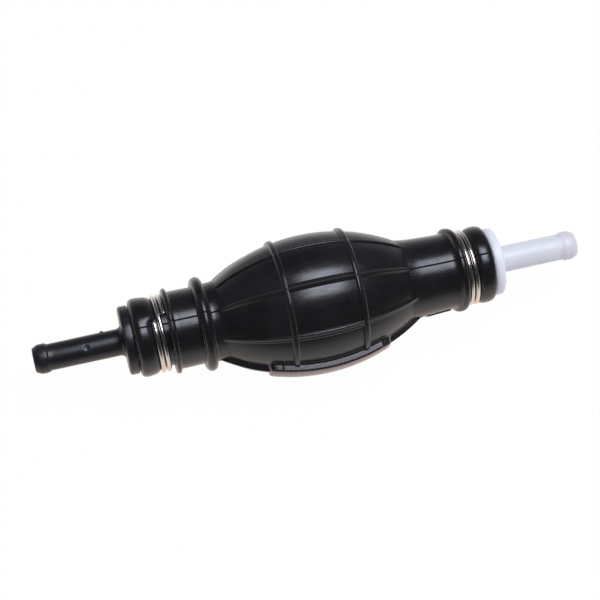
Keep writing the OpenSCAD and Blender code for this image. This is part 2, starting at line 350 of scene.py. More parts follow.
def spaced(x0, x1, steps):
    """Evenly spaced positions from x0 to x1."""
    return [x0 + (x1 - x0) * i / steps for i in range(steps + 1)]


# %% [markdown]
# ## The bulb's outline
# The rubber moulding runs from cuff to cuff: a cuff with rounded edges, the groove for the wire,
# a thin rib, a plain neck, a round bead, the long barrel with two ring ribs, the outlet neck, a
# round collar and the other groove and cuff. Inside it is hollow. All of it except the lengthwise
# ribs is the same all round, so all of it goes into the outline.

# %% Curves of the rubber
BARREL_ARC, BARREL_MIDDLE, WALL = 56.0, -35.75, 2.6
INLET_DRAW, INLET_DRAW_START, INLET_DRAW_L = 0.2, -23, 5
RING_X, RING_H, RING_HALF = (-10.0, 11.8), 0.95, 1.0
RING_ROWS = (0.2, 0.35, 0.48, 0.58, 0.66, 0.74, 0.81, 0.87, 0.93, RING_HALF, 1.06, 1.4)
RIDGE_POWER = 5
NECK_R, NECK_FLARE, NECK_FLARE_END, NECK_FLARE_L = 11.7, 0.62, 42, 12
NECK_FOOT, NECK_FOOT_END, NECK_FOOT_L = 0.2, 32.5, 3.5


def ease(t):
    """0 to 1 with soft ends."""
    t = min(max(t, 0.0), 1.0)
    return t * t * (3 - 2 * t)


def barrel_r(x, grow=0.0):
    """Radius of the barrel's long curve at x, drawn in a little at its inlet end."""
    drawn = INLET_DRAW * ease((INLET_DRAW_START - x) / INLET_DRAW_L)
    return math.sqrt((BARREL_ARC + grow) ** 2 - x * x) + BARREL_MIDDLE - drawn


def ridge(distance, height, half):
    """Height across a moulded ridge: flat on top, rounder towards its steep sides."""
    return height * max(0.0, 1 - abs(distance / half) ** RIDGE_POWER)


def barrel_rows():
    """Rows along the barrel, close together over the two ring ribs."""
    offsets = [-o for o in RING_ROWS[::-1]] + [0.0] + list(RING_ROWS)
    rows = [ring + o for ring in RING_X for o in offsets]
    rows += spaced(-28.5, -12.6, 13) + spaced(-7.4, 9.2, 14) + spaced(14.4, 27.7, 12)
    rows.sort()
    rises = [max(ridge(x - ring, RING_H, RING_HALF) for ring in RING_X) for x in rows]
    return [(x, barrel_r(x) + rise) for x, rise in zip(rows, rises)]


def outlet_neck_r(x):
    """The outlet neck widens towards the barrel, and faster at its foot."""
    flare = NECK_FLARE * max(0.0, (NECK_FLARE_END - x) / NECK_FLARE_L) ** 1.3
    foot = NECK_FOOT * max(0.0, (NECK_FOOT_END - x) / NECK_FOOT_L) ** 2
    return NECK_R + flare + foot


print("barrel radius in the middle, mm:", round(barrel_r(0), 2))

# %% Outline of the rubber
INLET_END, OUTLET_END = -55.32, 55.338
GROOVE_R, BORE_R = 10.2, 8.05
THIN_RIB, THIN_RIB_FILLET, BEAD = (-43.99, 12.3, 0.75), (-42.84, 12.22, 0.4), (-34.05, 12.62, 1.78)
INLET_NECK_R, INLET_NECK_TAPER, INLET_NECK_START = 11.84, 0.02, -42
MARK_X = (33.6, 41.1)
MARK_END = 0.1

inlet_cuff = [
    (INLET_END, BORE_R), (INLET_END, 9.6), (-55.28, 10.3), (-55.16, 10.85), (-54.92, 11.3),
    (-54.55, 11.65), (-54.1, 11.85), (-53.65, 11.93), (-53.2, 11.95), (-52.6, 11.91), (-52.0, 11.84),
    (-51.4, 11.73), (-50.9, 11.58), (-50.45, 11.36), (-50.1, 11.1), (-49.85, 10.8), (-49.7, 10.45),
    (-49.65, GROOVE_R),
]
inlet_neck = [(-47.2, GROOVE_R), (-44.74, GROOVE_R), (-44.74, 11.3)]
inlet_neck += arc(*THIN_RIB, 180, 0, 8) + arc(*THIN_RIB_FILLET, 180, 270, 4)
for x in (-41.5, -40.0, -38.5, -37.2, -36.35, -36.0):
    inlet_neck.append((x, INLET_NECK_R - INLET_NECK_TAPER * (x - INLET_NECK_START)))
inlet_neck += [(-35.75, 11.8), *arc(*BEAD, 196, -14, 18)]
inlet_neck += [
    (-32.1, 12.08), (-31.7, 12.01), (-31.2, 12.0), (-30.7, 12.02), (-30.2, 12.06), (-29.7, 12.11),
    (-29.3, 12.17), (-29.0, 12.27), (-28.75, 12.41),
]

outlet_neck = [(28.05, 12.77), (28.4, 12.68)]
neck_rows = [28.9, 29.4, 30.0, 30.5, 31.0, 31.5, 32.0, 33.0, MARK_X[0] - MARK_END, MARK_X[0]]
neck_rows += [34.5, 36.5, 38.5, 40.5, MARK_X[1], MARK_X[1] + MARK_END, 41.9]
outlet_neck += [(x, outlet_neck_r(x)) for x in neck_rows]
outlet_neck += [
    (42.3, 11.77), (42.58, 11.92), (42.75, 12.2), (42.95, 12.55), (43.25, 12.84), (43.65, 13.01),
    (44.2, 13.06), (44.75, 13.0), (45.25, 12.82), (45.6, 12.5), (45.8, 12.0), (45.85, 11.2),
    (45.85, GROOVE_R),
]
outlet_cuff = [
    (48.3, GROOVE_R), (50.71, GROOVE_R), (50.74, 10.6), (50.86, 11.05), (51.06, 11.38), (51.36, 11.62),
    (51.75, 11.79), (52.25, 11.89), (52.8, 11.92), (53.4, 11.89), (54.0, 11.8), (54.5, 11.64),
    (54.88, 11.38), (55.14, 11.0), (55.29, 10.4), (OUTLET_END, 9.5), (OUTLET_END, BORE_R),
]

plug_recess = [(50.0, BORE_R), (43.2, BORE_R), (43.2, 8.7), (42.4, 8.7), (40.3, 8.1)]
plug_recess += [(36.0, BORE_R), (30.55, BORE_R)]
hollow = [(x, barrel_r(x, -WALL)) for x in spaced(28.5, -28.5, 14)]
inside = plug_recess + hollow + [(-x, r) for x, r in plug_recess[::-1]]
rubber_outline = inlet_cuff + inlet_neck + barrel_rows() + outlet_neck + outlet_cuff + inside
print("rubber outline:", len(rubber_outline), "points")

# %% [markdown]
# ## Spinning the bulb
# Eight ribs run along the barrel: two on the mould's parting line, one about 40 degrees to each
# side of those, and two halfway round. Extruding strips of faces would leave square ribs, so they
# are raised from the skin's own points in a later step. For that the spin takes small steps across
# each rib, and one narrow step at each long edge of the low mark under the outlet neck.

# %% Spin the bulb
PARTING_ROLL, PANEL_RIB_ROLL = 70.5, 340.0
PARTING_RIBS = (PARTING_ROLL + 180, PARTING_ROLL + 360)
RIB_ROLLS = (110.6, 160.0, 210.0, PARTING_RIBS[0], 290.0, PANEL_RIB_ROLL, 386.7, PARTING_RIBS[1])
RIB_ZONE_HALF, RIB_EDGE, RIB_APRON = 4.0, 0.14, 2.0
RIB_ZONE = ((RIB_APRON, 2), (RIB_EDGE, 1), (2 * RIB_ZONE_HALF, 34), (RIB_EDGE, 1), (RIB_APRON, 2))
MARK_ROLLS, MARK_EDGE = (318.0, 332.0), 0.2
SPIN_START, PLAIN_STEP = 90.0, 3.3
BULB_CREASE = 34

zones = [(rib - RIB_ZONE_HALF - RIB_EDGE - RIB_APRON, RIB_ZONE) for rib in RIB_ROLLS]
zones += [(edge - MARK_EDGE / 2, ((MARK_EDGE, 1),)) for edge in MARK_ROLLS]
sweeps, roll_now = [], SPIN_START
for start, zone in sorted(zones):
    gap = start - roll_now
    sweeps += [(gap, max(2, round(gap / PLAIN_STEP))), *zone]
    roll_now = start + sum(degrees for degrees, steps in zone)
last_gap = SPIN_START + 360 - roll_now
sweeps.append((last_gap, round(last_gap / PLAIN_STEP)))
bulb = draw_outline("bulb_skin", rubber_outline)
spin_outline(bulb, sweeps, BULB_CREASE)

# %% [markdown]
# ## Rib sections
# The ribs are not alike. Those on the parting line are shaped like a roof, with a hollow at the
# upper foot. The ones above are narrow and low, the ones below are wide and lean, and the one in
# line with the panel is tall with drafted sides. Between the ribs the skin bulges a little. Each
# could be a curve that is swept along the barrel, but then it would not join the skin, so each is
# a height, in millimetres, for an angle from its middle, in degrees.

# %% Heights across the ribs
ROOF_H, ROOF_LOWER_HALF, ROOF_UPPER_FALL = 1.12, 3.1, 0.335
ROOF_FOOT, ROOF_FOOT_H, ROOF_FOOT_L = 2.5, 0.28, 1.9
UPPER_RIB_H, UPPER_RIB_HALF = 0.5, 2.1
LOWER_RIB_H, LOWER_RIB_HALF, LEAN, LEAN_START = 0.55, 3.7, 0.1, -0.8
PANEL_RIB_H, PANEL_RIB_HALF, PANEL_RIB_DRAFT = 1.55, 3.5, 1.5
RIB_REACH = RIB_ZONE_HALF + 0.5
BULGE, BULGE_LEVEL, BULGE_END, BULGE_FADE = 0.15, 0.4, 27, 12


def roll_of(point):
    """Angle round X in degrees, from -Y towards +Z."""
    return math.degrees(math.atan2(point.z, -point.y))


def turn_between(roll, centre):
    """Signed angle from a centre to a roll, the short way round."""
    return (roll - centre + 180) % 360 - 180


def roof_rise(aside):
    """Height of a rib on the parting line."""
    if aside < 0:
        return ROOF_H * max(0.0, 1 + aside / ROOF_LOWER_HALF)
    if aside < ROOF_FOOT:
        return ROOF_H - ROOF_UPPER_FALL * aside
    return ROOF_FOOT_H * max(0.0, 1 - (aside - ROOF_FOOT) / ROOF_FOOT_L) ** 2


def rib_rise(roll):
    """Height of the lengthwise ribs above the skin at a roll."""
    for rib in RIB_ROLLS:
        aside = turn_between(roll, rib)
        if abs(aside) > RIB_REACH:
            continue
        if rib in PARTING_RIBS:
            return roof_rise(aside)
        if rib == PANEL_RIB_ROLL:
            return PANEL_RIB_H * min(1.0, max(0.0, (PANEL_RIB_HALF - abs(aside)) / PANEL_RIB_DRAFT))
        if rib < PARTING_RIBS[0]:
            return ridge(aside, UPPER_RIB_H, UPPER_RIB_HALF)
        inward = aside if rib > 360 else -aside
        return ridge(aside, LOWER_RIB_H + LEAN * max(0.0, inward - LEAN_START), LOWER_RIB_HALF)
    return 0.0


def bulge(x, roll):
    """The skin bulges a little between the ribs, and less towards the necks."""
    turned = (roll - PARTING_ROLL) % 360 + PARTING_ROLL
    stops = (PARTING_ROLL, *RIB_ROLLS)
    before = max(rib for rib in stops if rib <= turned)
    after = min(rib for rib in stops if rib > turned)
    t = 2 * (turned - before) / (after - before) - 1
    return BULGE * (BULGE_LEVEL - t * t) * ease((BULGE_END - abs(x)) / BULGE_FADE)


print("rib heights, mm:", [round(rib_rise(rib), 2) for rib in RIB_ROLLS])

# %% [markdown]
# ## Cuffs beside the wire
# A wound wire climbs along the pump as it goes round. The edges of the cuffs lie against it, so
# they climb too, and the collar leans over towards the wire in front. A lattice could bend them;
# a shift along X that depends on the roll is simpler, and it starts just where the wire starts.

# %% Shift of the cuffs and the collar
CLAMP_PITCH, INLET_CLAMP_ROLL, OUTLET_CLAMP_ROLL = 1.75, 75.0, 150.0
INLET_EDGE, OUTLET_EDGE, COLLAR = (-53.6, -49.6), (53.0, 50.7), (42.2, 45.9)
WIRE_END_FADE, OUTLET_EDGE_SHIFT = 0.03, 0.3
COLLAR_SHIFT, COLLAR_SHIFT_FALL = 1.35, 0.85
COLLAR_FRONT_ROLL, COLLAR_FRONT_LEVEL, COLLAR_FRONT_FADE = 50, 0.3, 0.9


def way_along(x, start, stop):
    """0 at the start of a stretch and 1 at its stop."""
    return (x - start) / (stop - start)


def beside_wire(x, roll):
    """Shift along X that lays the cuffs and the collar against the wire wound in their grooves."""
    on_inlet, on_outlet = way_along(x, *INLET_EDGE), way_along(x, *OUTLET_EDGE)
    on_collar = way_along(x, *COLLAR)
    if 0 < on_inlet < 1:
        turned = (INLET_CLAMP_ROLL - roll) % 360 / 360
        return CLAMP_PITCH * turned * ease((1 - turned) / WIRE_END_FADE) * on_inlet
    if 0 < on_outlet < 1:
        turned = (OUTLET_CLAMP_ROLL - roll) % 360 / 360
        climb = CLAMP_PITCH * (turned - 1) * ease(turned / WIRE_END_FADE)
        return (climb + OUTLET_EDGE_SHIFT) * on_outlet
    if 0 < on_collar < 1:
        facing = math.cos(math.radians(roll - COLLAR_FRONT_ROLL))
        front = ease((facing + COLLAR_FRONT_LEVEL) / COLLAR_FRONT_FADE)
        return front * (COLLAR_SHIFT - COLLAR_SHIFT_FALL * on_collar)
    return 0.0


print("cuffs climb", CLAMP_PITCH, "mm a turn, the collar leans", COLLAR_SHIFT, "mm")

# %% [markdown]
# ## Raising the ribs
# The points of the skin are now moved in code, as with a sculpting brush that follows a stencil,
# because the ribs have to sink into the necks and the rings to a tenth of a millimetre. The mark
# on the neck is raised in the same pass. The parting line is pressed in as a fine groove and its
# points are marked, so that the finish can find it.

# %% Move the points of the skin
BARREL_END, BARREL_SKIN, NECK_SKIN_R = 29, 1, 9.5
RIB_END = 32.5
MARK_H, ROW_SLACK = 0.35, 0.01
LINE_DEPTH, LINE_HALF, LINE_SHADE_HALF = 0.17, 0.26, 0.19
RIB_CREASE = 36


def on_mark(x, roll):
    """Whether a place on the skin belongs to the mark on the neck."""
    along = MARK_X[0] - ROW_SLACK < x < MARK_X[1] + ROW_SLACK
    return along and MARK_ROLLS[0] < roll % 360 < MARK_ROLLS[1]


line_mark = bulb.data.attributes.new("parting_line", "FLOAT", "POINT")
for vertex in bulb.data.vertices:
    x = vertex.co.x / MM
    radius = math.hypot(vertex.co.y, vertex.co.z) / MM
    if radius > (barrel_r(x) - BARREL_SKIN if abs(x) < BARREL_END else NECK_SKIN_R):
        roll = roll_of(vertex.co)
        if abs(x) < RIB_END:
            radius = max(radius, barrel_r(x) + rib_rise(roll)) + bulge(x, roll)
        if on_mark(x, roll):
            radius += MARK_H
        off_line = min(abs(turn_between(roll, line)) for line in (PARTING_ROLL, PARTING_RIBS[0]))
        off_line = math.radians(off_line) * radius
        radius -= LINE_DEPTH * max(0.0, 1 - off_line / LINE_HALF)
        # Points in the middle of the groove are marked for the painted shade along the parting line.
        line_mark.data[vertex.index].value = 1.0 if off_line < LINE_SHADE_HALF else 0.0
        turn = math.radians(roll)
        y, z = -radius * math.cos(turn), radius * math.sin(turn)
        vertex.co = Vector((x + beside_wire(x, roll), y, z)) * MM
bulb.data.update()
bpy.ops.object.shade_smooth_by_angle(angle=math.radians(RIB_CREASE))
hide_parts("bulb")
widest = 2 * max(math.hypot(v.co.y, v.co.z) for v in bulb.data.vertices)
print("widest over the ribs, mm:", round(widest / MM, 2))

# %% [markdown]
# ## Rubber finish
# The rubber is nearly black with a satin skin straight from the mould. Its gloss changes a little
# from place to place, fine marks run along the pump where it was pulled off its core, and the
# parting line is dull. Its colour there is painted shade, darker than the rubber, for the shadow
# in its fine groove. Noise stretched along X gives the marks, and the line uses the points
# marked above. Where the view grazes the skin, a faint sheen stands for the bloom that rubber has.

# %% Material helpers
NOISE_MIDDLE = (0.3, 0.7)


def node_finish(name, roughness, metallic=0.0):
    """New node material with its main shader to build on."""
    material = bpy.data.materials.new(name)
    material.use_nodes = True
    nodes, links = material.node_tree.nodes, material.node_tree.links
    shader = nodes["Principled BSDF"]
    shader.inputs["Roughness"].default_value = roughness
    shader.inputs["Metallic"].default_value = metallic
    return material, nodes, links, shader


def stretched_noise(nodes, links, place, scale, stretch, detail):
    """Noise on a coordinate, with its grain stretched or squeezed along the axes."""
    mapping = nodes.new("ShaderNodeMapping")
    mapping.inputs["Scale"].default_value = stretch
    noise = nodes.new("ShaderNodeTexNoise")
    noise.inputs["Scale"].default_value = scale
    noise.inputs["Detail"].default_value = detail
    links.new(place, mapping.inputs["Vector"])
    links.new(mapping.outputs[0], noise.inputs["Vector"])
    return noise.outputs["Fac"]


def to_range(nodes, links, value, low, high):
    """Spreads the middle of a noise over a range."""
    spread = nodes.new("ShaderNodeMapRange")
    spread.inputs["From Min"].default_value = NOISE_MIDDLE[0]
    spread.inputs["From Max"].default_value = NOISE_MIDDLE[1]
    spread.inputs["To Min"].default_value = low
    spread.inputs["To Max"].default_value = high
    links.new(value, spread.inputs["Value"])
    return spread.outputs[0]


def noise_tone(nodes, links, noise, dark, light):
    """Colour that a noise moves between two tones."""
    return two_tone(nodes, links, to_range(nodes, links, noise, 0, 1), dark, light)


def add_bump(nodes, links, shader, value, strength, depth):
    """Fine relief from a value."""
    bump = nodes.new("ShaderNodeBump")
    bump.inputs["Strength"].default_value = strength
    bump.inputs["Distance"].default_value = depth
    links.new(value, bump.inputs["Height"])
    links.new(bump.outputs[0], shader.inputs["Normal"])


# %% Rubber material
RUBBER_DARK, RUBBER_LIGHT = (0.0078, 0.0069, 0.0069), (0.0128, 0.0113, 0.0111)
# The parting line's tone is painted shade, darker than the rubber, for the shadow in its groove.
LINE_SHADE_TONE, LINE_ROUGHNESS = (0.003, 0.003, 0.0032), 0.35
BLACK = (0, 0, 0)
SHEEN_ROUGHNESS = 0.3
RELIEF = 0.0001


def rubber_finish(name, gleam, gleam_tint, sheen, sheen_tint):
    """Satin black rubber, pull marks along the pump, a dull parting line with painted shade."""
    material, nodes, links, shader = node_finish(name, 0.25)
    place = object_place(nodes)
    shader.inputs["Specular IOR Level"].default_value = gleam
    shader.inputs["Specular Tint"].default_value = (*gleam_tint, 1)
    shader.inputs["Sheen Weight"].default_value = sheen
    shader.inputs["Sheen Tint"].default_value = (*sheen_tint, 1)
    shader.inputs["Sheen Roughness"].default_value = SHEEN_ROUGHNESS
    patches = stretched_noise(nodes, links, place, 130, (1, 1, 1), 3)
    marks = stretched_noise(nodes, links, place, 1800, (0.15, 1, 1), 3)
    tone = noise_tone(nodes, links, patches, RUBBER_DARK, RUBBER_LIGHT)
    line = nodes.new("ShaderNodeAttribute")
    line.attribute_name = "parting_line"
    # Painted shade: the parting line gets the darker tone, for the shadow in its groove.
    line_shaded = two_tone(nodes, links, line.outputs["Fac"], BLACK, LINE_SHADE_TONE)
    links.new(tone.outputs[2], line_shaded.inputs[6])
    links.new(line_shaded.outputs[2], shader.inputs["Base Color"])
    satin = to_range(nodes, links, marks, 0.20, 0.29)
    dull = math_node(nodes, links, "MULTIPLY_ADD", line.outputs["Fac"], LINE_ROUGHNESS, satin)
    links.new(dull, shader.inputs["Roughness"])
    add_bump(nodes, links, shader, marks, 0.08, RELIEF)
    return material


satin_rubber = rubber_finish(
    "satin_rubber", gleam=0.5, gleam_tint=(1, 1, 1), sheen=0.3, sheen_tint=(1, 0.96, 0.94)
)
bulb.data.materials.append(satin_rubber)
print("rubber nodes:", len(satin_rubber.node_tree.nodes))

# %% [markdown]
# ## The raised panel
# A long panel stands on the lower side of the bulb, a quarter turn from the parting line. Its face
# is bare here. It starts as a block: the corners of its plan are bevelled, its top is drawn in so
# that the sides slope as a mould needs, and the top edge is rounded. Cuts across it let it follow
# the barrel and give it a round hollow at its foot.

# %% Select and cut helpers
def select_where(piece, element, test):
    """Selects the faces, edges or points of a piece that pass a test, and nothing else."""
    bpy.ops.mesh.select_mode(type=element)
    bpy.ops.mesh.select_all(action="DESELECT")
    bpy.ops.object.mode_set(mode="OBJECT")
    mesh = piece.data
    items = {"FACE": mesh.polygons, "EDGE": mesh.edges, "VERT": mesh.vertices}[element]
    for item in items:
        item.select = test(item)
    bpy.ops.object.mode_set(mode="EDIT")


def cut_across(normal, places):
    """Cuts the whole mesh across a direction at some places in millimetres."""
    for place in places:
        bpy.ops.mesh.select_all(action="SELECT")
        bpy.ops.mesh.bisect(plane_co=[place * MM * n for n in normal], plane_no=normal)


# %% Model the panel flat
PANEL_L, PANEL_W, PANEL_H = 38.0, 8.5, 2.28
PANEL_FOOT = -0.8
PANEL_CORNER, PANEL_SLOPE, PANEL_EDGE = 1.5, 0.21, 0.5
SEAM_FROM_END, SEAM_HALF = (4.0, 3.1), 0.25
SEAMS = (SEAM_FROM_END[0] - PANEL_L / 2, PANEL_L / 2 - SEAM_FROM_END[1])
LAST_CUT, CUTS_ALONG = 17.5, 28
CUTS_ACROSS = (-2.4, -1.2, 0, 1.2, 2.4)
CUTS_AT_FOOT = (-0.05, 0.0, 0.06, 0.14, 0.24, 0.37, 0.55)


def heights(edge):
    """Heights of the two ends of one of the panel's edges."""
    return [panel.data.vertices[i].co.z for i in edge.vertices]


def upright_edge(edge):
    """Whether an edge runs up the block."""
    return max(heights(edge)) - min(heights(edge)) > MM


def top_face(face):
    """Whether a face looks up."""
    return face.normal.z > 0.9


def top_edge(edge):
    """Whether an edge lies in the block's top."""
    return min(heights(edge)) > (PANEL_H - 0.01) * MM


bpy.ops.object.select_all(action="DESELECT")
bpy.ops.mesh.primitive_cube_add(size=1)
panel = bpy.context.object
panel.name = panel.data.name = "grip_panel_skin"
panel.scale = (PANEL_L * MM, PANEL_W * MM, (PANEL_H - PANEL_FOOT) * MM)
panel.location = (0, 0, (PANEL_H + PANEL_FOOT) / 2 * MM)
bpy.ops.object.transform_apply(location=True, rotation=True, scale=True)
bpy.ops.object.mode_set(mode="EDIT")
select_where(panel, "EDGE", upright_edge)
bpy.ops.mesh.bevel(offset=PANEL_CORNER * MM, segments=6)
select_where(panel, "FACE", top_face)
bpy.ops.transform.resize(value=(1 - 2 * PANEL_SLOPE / PANEL_L, 1 - 2 * PANEL_SLOPE / PANEL_W, 1))
select_where(panel, "EDGE", top_edge)
bpy.ops.mesh.bevel(offset=PANEL_EDGE * MM, segments=5)
cut_across((1, 0, 0), spaced(-LAST_CUT, LAST_CUT, CUTS_ALONG))
for seam in SEAMS:
    cut_across((1, 0, 0), (seam - SEAM_HALF, seam, seam + SEAM_HALF))
cut_across((0, 1, 0), CUTS_ACROSS)
cut_across((0, 0, 1), CUTS_AT_FOOT)
bpy.ops.object.mode_set(mode="OBJECT")
print("flat panel:", len(panel.data.polygons), "faces")

# %% [markdown]
# ## Wrapping the panel
# Two fine seams near the ends look like the edges of an insert in the mould, and the outlet end is
# a little rounder than the other. A bend modifier would bend the panel in one direction only, so
# the wrap round the barrel is done point by point. In the picture the panel is brighter than the
# bulb where the view grazes it, so it gets the rubber with more gleam and more bloom.

# %% Press the seams and wrap the panel round the barrel
PANEL_SHIFT = 0.9
PANEL_ROLL = math.radians(PANEL_RIB_ROLL)
FOOT_TOP, FOOT_ROUND = 0.55, 0.6
SEAM_DEPTH, SEAM_SINK, SEAM_FACE_HALF, SEAM_SLACK = 0.38, 0.1, 3.2, 0.01
OUTLET_END_DRAW = 0.16
PANEL_CREASE = 35
panel_out = Vector((0, -math.cos(PANEL_ROLL), math.sin(PANEL_ROLL)))
panel_side = Vector((0, math.sin(PANEL_ROLL), math.cos(PANEL_ROLL)))
core_x, core_y = PANEL_L / 2 - PANEL_CORNER, PANEL_W / 2 - PANEL_CORNER


def foot_flare(z):
    """How far the round hollow at the panel's foot reaches out at a height."""
    t = min(max((FOOT_TOP - z) / FOOT_ROUND, 0.0), 1.0)
    return FOOT_ROUND * (1 - math.sqrt(1 - t * t))


def in_seam(x, y, z):
    """Whether a point of the flat panel lies in one of the seams."""
    off_seam = min(abs(x - seam) for seam in SEAMS)
    return off_seam < SEAM_SLACK and z > 0 and abs(y) > SEAM_FACE_HALF


for vertex in panel.data.vertices:
    x, y, z = (v / MM for v in vertex.co)
    outward = Vector((x - min(max(x, -core_x), core_x), y - min(max(y, -core_y), core_y)))
    if outward.length > 0.5 * PANEL_CORNER:
        x, y = Vector((x, y)) + outward.normalized() * foot_flare(z)
    if in_seam(x, y, z):
        y -= math.copysign(SEAM_DEPTH, y)
        z -= SEAM_SINK
    y *= 1 - OUTLET_END_DRAW * max(0.0, (x - SEAMS[1]) / SEAM_FROM_END[1]) ** 2
    x += PANEL_SHIFT
    reach = math.sqrt((barrel_r(x) + z) ** 2 - y * y)
    vertex.co = Vector((x * MM, 0, 0)) + (panel_out * reach + panel_side * y) * MM
bpy.ops.object.mode_set(mode="EDIT")
bpy.ops.mesh.select_all(action="SELECT")
bpy.ops.mesh.normals_make_consistent(inside=False)
bpy.ops.object.mode_set(mode="OBJECT")
bpy.ops.object.shade_smooth_by_angle(angle=math.radians(PANEL_CREASE))
panel_rubber = rubber_finish(
    "panel_rubber", gleam=0.8, gleam_tint=(1, 0.92, 0.91), sheen=1.0, sheen_tint=(1, 0.78, 0.7)
)
panel.data.materials.append(panel_rubber)
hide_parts("grip_panel")
print("panel wrapped, top at radius", PANEL_H + round(barrel_r(0), 2))

# %% [markdown]
# ## Squeezing
# The panel slides inwards when the bulb is squeezed, and the rubber round it follows. A blend does
# that, but by itself it eases along one line only, which would flatten the ribs and pull at the
# bead. So its weights are painted afterwards, as with a weight brush: full under the panel, and
# fading round the barrel and towards its ends. The wall's inside and outside get the same weight,
# so it keeps its thickness, and the panel rides along in one piece.

# %% Blend the rubber with the squeezed wall
SQUEEZE_STILL, SQUEEZE_FULL = 11.95, 22.9
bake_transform(bulb, "pump_body", "squeezed_wall", panel_out * SQUEEZE_STILL * MM, panel_out * SQUEEZE_FULL * MM)
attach(bulb, "pump_body")
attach(panel, "squeezed_wall")
DENT_END, DENT_FADE = 27.6, 7.8
DENT_TURN, DENT_TURN_FADE = 80.0, 64.0


def dent(point):
    """Share of the squeeze that a point of the rubber takes part in."""
    along = (DENT_END - abs(point.x / MM - PANEL_SHIFT)) / DENT_FADE
    turn = math.degrees(math.atan2(abs(point.dot(panel_side)), point.dot(panel_out)))
    return ease(along) * ease((DENT_TURN - turn) / DENT_TURN_FADE)


weights = bulb.data.attributes["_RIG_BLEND"].data
for vertex in bulb.data.vertices:
    weights[vertex.index].value = dent(vertex.co)
print("points that move fully:", sum(weight.value > 0.999 for weight in weights))

# %% [markdown]
# ## The two spigots
# Each fitting is one turned shape: a plug with a barb inside the cuff, a flange, a spigot for the
# hose with a soft hollow at its foot, and a rounded bead near the tip. A cylinder could be extruded
# and bevelled ring by ring; the outline gives the same rings in one go. The black one also has a
# sunk gate mark and a small pip, left by its mould, which are pressed into the finished mesh.

# %% Outlines of the fittings
FLANGE_X, FLANGE_OUT, FLANGE_R = 55.538, 58.438, 10.4
FLANGE_EDGE, FLANGE_ROUND, FOOT_HOLLOW = 0.4, 0.75, 1.7
SPIGOT_R, SPIGOT_TAPER, SPIGOT_BORE = 4.0, 0.04, 2.6
SHOULDER_X, PLUG_END_X, PLUG_R, BARB_R, CHAMBER_R = 52.338, 40.438, 8.0, 8.6, 6.2
TIP_ROWS = (
    (4.75, 0.0), (4.5, 0.06), (4.15, 0.32), (3.9, 0.42), (3.5, 0.45), (2.1, 0.45),
    (1.7, 0.4), (1.3, 0.24), (0.4, -0.2), (0.12, -0.42), (0.0, -0.65),
)
INLET_TIP, OUTLET_TIP = 85.438, 84.038
SPIGOT_CREASE = 38


def fitting_outline(tip, tube_rows):
    """Outline of a fitting with its spigot towards +X."""
    rows = [(PLUG_END_X, CHAMBER_R), (PLUG_END_X, 7.9)]
    rows += [(42.44, BARB_R), (43.04, BARB_R), (43.04, PLUG_R)]
    rows += [(50.0, PLUG_R), (FLANGE_X, PLUG_R), (FLANGE_X, 9.2)]
    rows += arc(FLANGE_X + FLANGE_EDGE, FLANGE_R - FLANGE_EDGE, FLANGE_EDGE, 180, 90, 4)
    rows += arc(FLANGE_OUT - FLANGE_ROUND, FLANGE_R - FLANGE_ROUND, FLANGE_ROUND, 90, 0, 6)
    rows += [(FLANGE_OUT, 8.4), (FLANGE_OUT, 7.0)]
    rows += arc(FLANGE_OUT + FOOT_HOLLOW, SPIGOT_R + SPIGOT_TAPER + FOOT_HOLLOW, FOOT_HOLLOW, 180, 270, 7)
    for x in tube_rows:
        rows.append((x, SPIGOT_R + SPIGOT_TAPER * (tip - x) / (tip - FLANGE_OUT)))
    rows += [(tip - back, SPIGOT_R + rise) for back, rise in TIP_ROWS]
    rows += [(tip, SPIGOT_BORE + 0.3), (tip - 0.25, SPIGOT_BORE), (70.0, SPIGOT_BORE)]
    rows += [(SHOULDER_X, SPIGOT_BORE), (SHOULDER_X, CHAMBER_R)]
    return rows


inlet_tube = [61.5, 62.7] + spaced(63.2, 71.4, 41) + [73.0, 76.0, 79.0]
inlet_rows = fitting_outline(INLET_TIP, inlet_tube)
outlet_rows = fitting_outline(OUTLET_TIP, spaced(61.5, 78.0, 8))
inlet_fitting = draw_outline("inlet_spigot", [(-x, r) for x, r in inlet_rows])
spin_outline(inlet_fitting, [(360, 120)], SPIGOT_CREASE)
outlet_fitting = draw_outline("outlet_spigot", outlet_rows)
spin_outline(outlet_fitting, [(360, 96)], SPIGOT_CREASE)

# %% Press the gate mark and raise the pip on the black spigot
GATE_X, GATE_ROLL, GATE_R, GATE_DEPTH = -69.6, 64.0, 0.95, 0.25
PIP_X, PIP_ROLL, PIP_R, PIP_H = -64.3, 143.0, 0.7, 0.35
TUBE_START, TUBE_SKIN_R = -62, 3.6


def dome(x, roll, radius, middle_x, middle_roll, reach):
    """1 in the middle of a round spot on the tube, and 0 from its edge on."""
    aside = math.radians(turn_between(roll, middle_roll)) * radius
    return max(0.0, 1 - (math.hypot(x - middle_x, aside) / reach) ** 2)


for vertex in inlet_fitting.data.vertices:
    x = vertex.co.x / MM
    radius = math.hypot(vertex.co.y, vertex.co.z) / MM
    if x < TUBE_START and radius > TUBE_SKIN_R:
        roll = roll_of(vertex.co)
        moved = radius - GATE_DEPTH * dome(x, roll, radius, GATE_X, GATE_ROLL, GATE_R)
        moved += PIP_H * dome(x, roll, radius, PIP_X, PIP_ROLL, PIP_R)
        vertex.co.y *= moved / radius
        vertex.co.z *= moved / radius
for fitting, node in ((inlet_fitting, "inlet_fitting"), (outlet_fitting, "outlet_fitting")):
    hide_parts(node)
    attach(fitting, "pump_body")
print("spigots reach from", -INLET_TIP, "to", OUTLET_TIP)

# %% [markdown]
# ## Nylon finishes
# The black nylon is a little lighter than the rubber and has no bloom. The white one is natural
# nylon: milky, faintly blue, greyer towards its tip, and light soaks into it a little way, so it
# uses some subsurface scattering instead of plain white paint.

